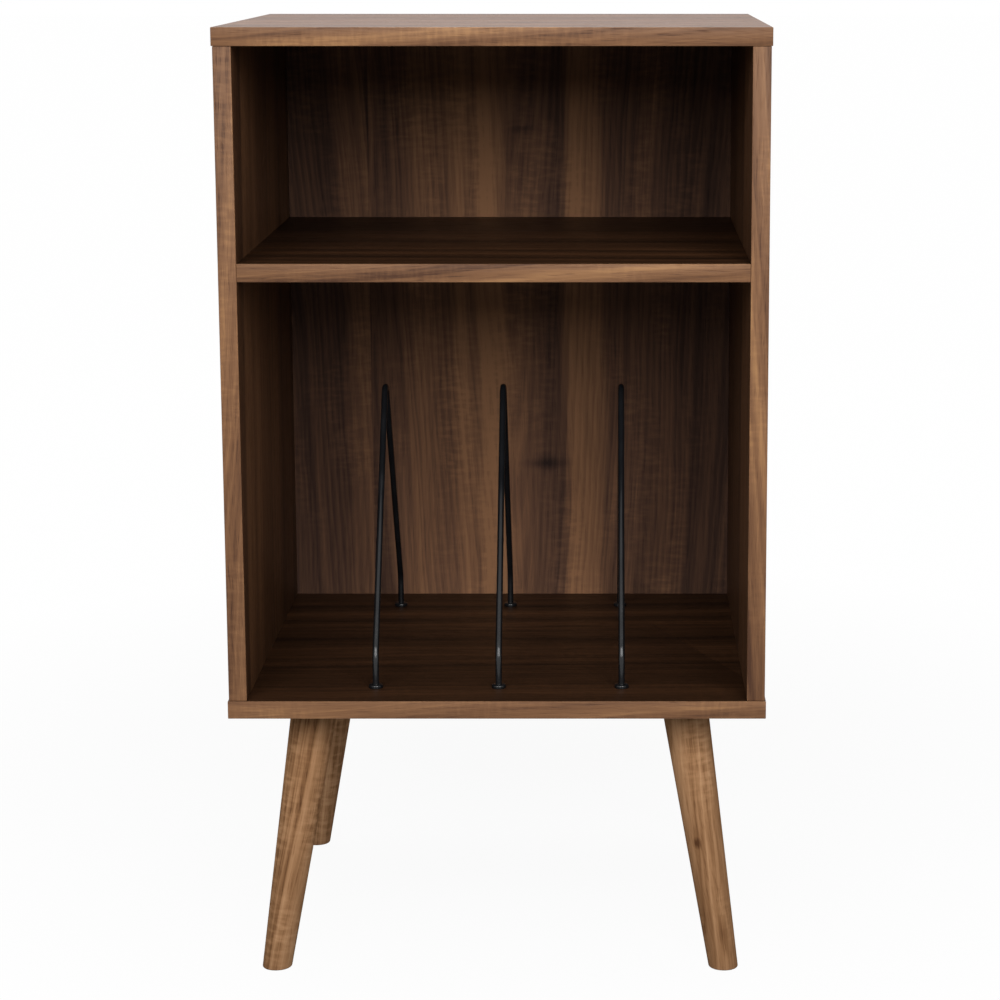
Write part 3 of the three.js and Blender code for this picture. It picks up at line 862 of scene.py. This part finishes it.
def bend_wire(bm):
    """Pushes and bends a round section from the front foot to the rear foot."""
    start = Vector((0, -half_reach, 0))
    ring = bmesh.ops.create_circle(bm, segments=WIRE_SIDES, radius=WIRE_RADIUS, cap_ends=False,
                                   matrix=Matrix.Translation(start))["verts"]
    first_edges = list({edge for vert in ring for edge in vert.link_edges})
    section = ring + first_edges
    heading, tip, axis = Vector((0, 0, 1)), start, Vector((-1, 0, 0))
    steps = [("run", upright_run), ("bend", knee_turn, KNEE_RADIUS), ("run", slope_run),
             ("bend", peak_turn, PEAK_RADIUS), ("run", slope_run),
             ("bend", knee_turn, KNEE_RADIUS), ("run", upright_run)]
    for kind, amount, *radius in steps:
        if kind == "run":
            swept = bmesh.ops.spin(bm, geom=section, cent=tip, axis=axis, dvec=heading * amount,
                                   angle=0, steps=1)
            tip = tip + heading * amount
        else:
            centre = tip + axis.cross(heading) * radius[0]
            swept = bmesh.ops.spin(bm, geom=section, cent=centre, axis=axis, angle=amount,
                                   steps=round(amount / BEND_STEP))
            turn = Matrix.Rotation(amount, 3, axis)
            tip = centre + turn @ (tip - centre)
            heading = turn @ heading
        section = swept["geom_last"]
    last_edges = [item for item in section if isinstance(item, bmesh.types.BMEdge)]
    bmesh.ops.contextual_create(bm, geom=first_edges)
    bmesh.ops.contextual_create(bm, geom=last_edges)


print("steps in a knee:", round(knee_turn / BEND_STEP), "and in the peak:", round(peak_turn / BEND_STEP))

# %% [markdown]
# A collar is welded to each end of the wire and rests on the board. A threaded stud goes on below it,
# through the board. Both are turned parts, so one outline gives them: ridges for the thread, a short
# plain neck, the upright rim and the rounded shoulder.

# %% The outline of a collar and its stud
COLLAR_RADIUS = 0.0061
COLLAR_HEIGHT = 0.0034
COLLAR_RIM = 0.0019
COLLAR_EASE = 0.0003
NECK_RADIUS = 0.0037
SHOULDER_STEPS = 8
STUD_RADIUS = 0.0025
STUD_LENGTH = 0.0215
STUD_NECK = 0.001
THREAD_PITCH = 0.0008
THREAD_DEPTH = 0.0004
THREAD_RUNOUT = 0.002


def collar_profile():
    """The outline of the stud and the collar on top of it, from the stud's tip up."""
    root_radius = STUD_RADIUS - THREAD_DEPTH
    outline = [(0, -STUD_LENGTH), (root_radius, -STUD_LENGTH)]
    for index in range(int((STUD_LENGTH - THREAD_RUNOUT) / THREAD_PITCH)):
        ridge = -STUD_LENGTH + (index + 0.5) * THREAD_PITCH
        outline += [(STUD_RADIUS, ridge), (root_radius, ridge + THREAD_PITCH / 2)]
    outline += [(STUD_RADIUS, -STUD_NECK), (STUD_RADIUS, 0), (COLLAR_RADIUS - COLLAR_EASE, 0),
                (COLLAR_RADIUS, COLLAR_EASE)]
    for step in range(SHOULDER_STEPS + 1):
        angle = step / SHOULDER_STEPS * math.pi / 2
        outline.append((NECK_RADIUS + (COLLAR_RADIUS - NECK_RADIUS) * math.cos(angle),
                        COLLAR_RIM + (COLLAR_HEIGHT - COLLAR_RIM) * math.sin(angle)))
    outline.append((0, COLLAR_HEIGHT))
    return outline


collar_outline = collar_profile()
print("points in the outline of a collar:", len(collar_outline))

# %% [markdown]
# The three dividers are alike. Each stands where its CAD node stands: on the middle of that node's
# box, with its peak at the box's top.

# %% Make the dividers
COLLAR_SIDES = 2 * WIRE_SIDES

for name in ("left", "middle", "right"):
    node = f"divider_{name}"
    low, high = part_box(node)
    base = Vector(((low[X] + high[X]) / 2, (low[Y] + high[Y]) / 2, high[Z]))
    divider_bm = bmesh.new()
    bend_wire(divider_bm)
    for foot_y in (-half_reach, half_reach):
        collar_bm = bmesh.new()
        spin_profile(collar_bm, collar_outline, COLLAR_SIDES)
        bmesh.ops.translate(collar_bm, verts=collar_bm.verts, vec=(0, foot_y, 0))
        collar_mesh = bpy.data.meshes.new("collar")
        collar_bm.to_mesh(collar_mesh)
        collar_bm.free()
        divider_bm.from_mesh(collar_mesh)
        bpy.data.meshes.remove(collar_mesh)
    bmesh.ops.recalc_face_normals(divider_bm, faces=divider_bm.faces)
    base.z -= max(vert.co.z for vert in divider_bm.verts)
    bmesh.ops.translate(divider_bm, verts=divider_bm.verts, vec=base)
    finish_piece(divider_bm, f"bent_divider_{name}", black_coat, [node],
                 smooth_angle=40)
    print(node, "stands at", rounded(base))

# %% [markdown]
# ## Hidden fixings
# The plates, bolts, screws and nuts are zinc-plated steel and the dowels are beech. They hold the
# stand together out of sight, and their CAD nodes already have the right shapes, so they only get a
# finish: the mottled plating, and a pale wood with short fibres along the stand's width.

# %% Dress the hidden fixings
beech_tones = [
    (0.10, paint(170, 128, 88)),
    (0.40, paint(196, 156, 112)),
    (0.65, paint(206, 168, 124)),
    (0.92, paint(218, 184, 142)),
]
beech_dowel = wood_material("beech dowel", object_place, beech_tones, leg_layout, leg_mix,
                            roughness=(0.6, 0.75), gloss=0.15)
fixings = {"dowel_": beech_dowel, "leg_plate_": zinc_plate, "hanger_bolt_": zinc_plate,
           "plate_screw_": zinc_plate, "divider_nut_": zinc_plate}
for prefix, material in fixings.items():
    dressed = [node for name, node in nodes.items() if name.startswith(prefix)]
    for node in dressed:
        node.data.materials[0] = material
    print(len(dressed), "of", prefix, "dressed in", material.name)

# %% [markdown]
# ## The ground
# The photograph has a white ground with the faintest of shades behind the stand. Lighting a floor up
# to white would bleach the wood as well. So the ground is white only to the camera and in
# reflections, with a soft round painted shadow behind the stand and a little of the lit floor with its
# real shadow. To the light it is a plain floor of middling grey, which keeps the inside of the cabinet
# dark.

# %% Floor
FLOOR_REACH = 30
FLOOR_GREY = 0.3
PAINTED_SHADOW_MIDDLE = (0.0, 0.5, 0.0)
PAINTED_SHADOW_RADII = (0.1, 0.9)
PAINTED_SHADOW_WHITES = (0.915, 0.995)


def white_to_the_eye(tree):
    """1 for rays from the camera, in mirrors and through glass, 0 for light on its way round."""
    path = add_node(tree, "ShaderNodeLightPath").outputs
    seen = maths(tree, "MAXIMUM", path["Is Camera Ray"], path["Is Glossy Ray"])
    return maths(tree, "MAXIMUM", seen, path["Is Transmission Ray"])


floor_bm = bmesh.new()
bmesh.ops.create_grid(floor_bm, x_segments=2, y_segments=2, size=FLOOR_REACH)
floor_mesh = bpy.data.meshes.new("floor")
floor_bm.to_mesh(floor_mesh)
floor_bm.free()
floor = bpy.data.objects.new("floor", floor_mesh)
bpy.context.collection.objects.link(floor)
floor_material = bpy.data.materials.new("pale floor")
floor_material.use_nodes = True
floor_tree = floor_material.node_tree
floor_tree.nodes.clear()
matt = add_node(floor_tree, "ShaderNodeBsdfDiffuse", {"Color": (FLOOR_GREY, FLOOR_GREY, FLOOR_GREY, 1)})
glow = add_node(floor_tree, "ShaderNodeEmission", {"Color": (1, 1, 1, 1), "Strength": 1.0})
# Painted shadow: the white that the camera sees dims towards a spot behind the stand.
from_painted_shadow = vector_maths(floor_tree, "DISTANCE", object_place(floor_tree), PAINTED_SHADOW_MIDDLE)
glow_with_painted_shadow = spread(floor_tree, from_painted_shadow.outputs["Value"], *PAINTED_SHADOW_RADII, *PAINTED_SHADOW_WHITES)
share = maths(floor_tree, "MULTIPLY", white_to_the_eye(floor_tree), glow_with_painted_shadow)
blend = add_node(floor_tree, "ShaderNodeMixShader", {0: share, 1: matt.outputs[0], 2: glow.outputs[0]})
add_node(floor_tree, "ShaderNodeOutputMaterial", {"Surface": blend.outputs[0]})
floor_mesh.materials.append(floor_material)
print("floor reaches", FLOOR_REACH, "m each way")

# %% [markdown]
# ## The background
# Above the floor the same holds: white to the camera and in reflections, and a dim even glow to the
# light, so the lamps alone shape the stand.

# %% World
ROOM_GREY = 0.03

world = bpy.data.worlds.new("studio")
bpy.context.scene.world = world
world.use_nodes = True
world_tree = world.node_tree
world_tree.nodes.clear()
room = (ROOM_GREY, ROOM_GREY, ROOM_GREY, 1)
surround = colour_mix(world_tree, white_to_the_eye(world_tree), room, (1, 1, 1, 1))
sky = add_node(world_tree, "ShaderNodeBackground", {"Color": surround, "Strength": 1.0})
add_node(world_tree, "ShaderNodeOutputWorld", {"Surface": sky.outputs[0]})
print("the room's glow:", ROOM_GREY)

# %% [markdown]
# ## The lamps
# In the photograph the front edges are bright while the floors and walls of the bays stay dark, and
# each board shades the back just below it. So the main light comes from in front and somewhat above:
# two tall softboxes, left and right of the camera, of which the right one is a little stronger. A
# softbox overhead brings out the top, and weak fills keep the sides and the rear readable. The rear
# fill doesn't show in reflections, where it would put a glare on the back of the top board.

# %% Softboxes
STAND_MIDDLE = Vector((0, 0, 0.42))


def softbox(name, place, width, height, watts):
    """A rectangular lamp that faces the stand and is not seen itself."""
    data = bpy.data.lights.new(name, "AREA")
    data.shape = "RECTANGLE"
    data.size, data.size_y = width, height
    data.energy = watts
    lamp = bpy.data.objects.new(name, data)
    lamp.location = place
    lamp.rotation_euler = (STAND_MIDDLE - Vector(place)).to_track_quat("-Z", "Y").to_euler()
    lamp.visible_camera = False
    bpy.context.collection.objects.link(lamp)
    return lamp


softbox("front left softbox", (-1.05, -3.0, 2.02), width=1.5, height=1.9, watts=64)
softbox("front right softbox", (1.05, -3.0, 2.02), width=1.5, height=1.9, watts=80)
softbox("top softbox", (0.0, 0.8, 3.0), width=1.6, height=1.6, watts=112)
softbox("left fill", (-3.2, 1.4, 0.9), width=1.6, height=1.6, watts=15)
softbox("right fill", (3.2, 1.4, 0.9), width=1.6, height=1.6, watts=15)
rear_fill = softbox("rear fill", (0.0, 3.2, 1.1), width=2.0, height=1.6, watts=30)
rear_fill.visible_glossy = False
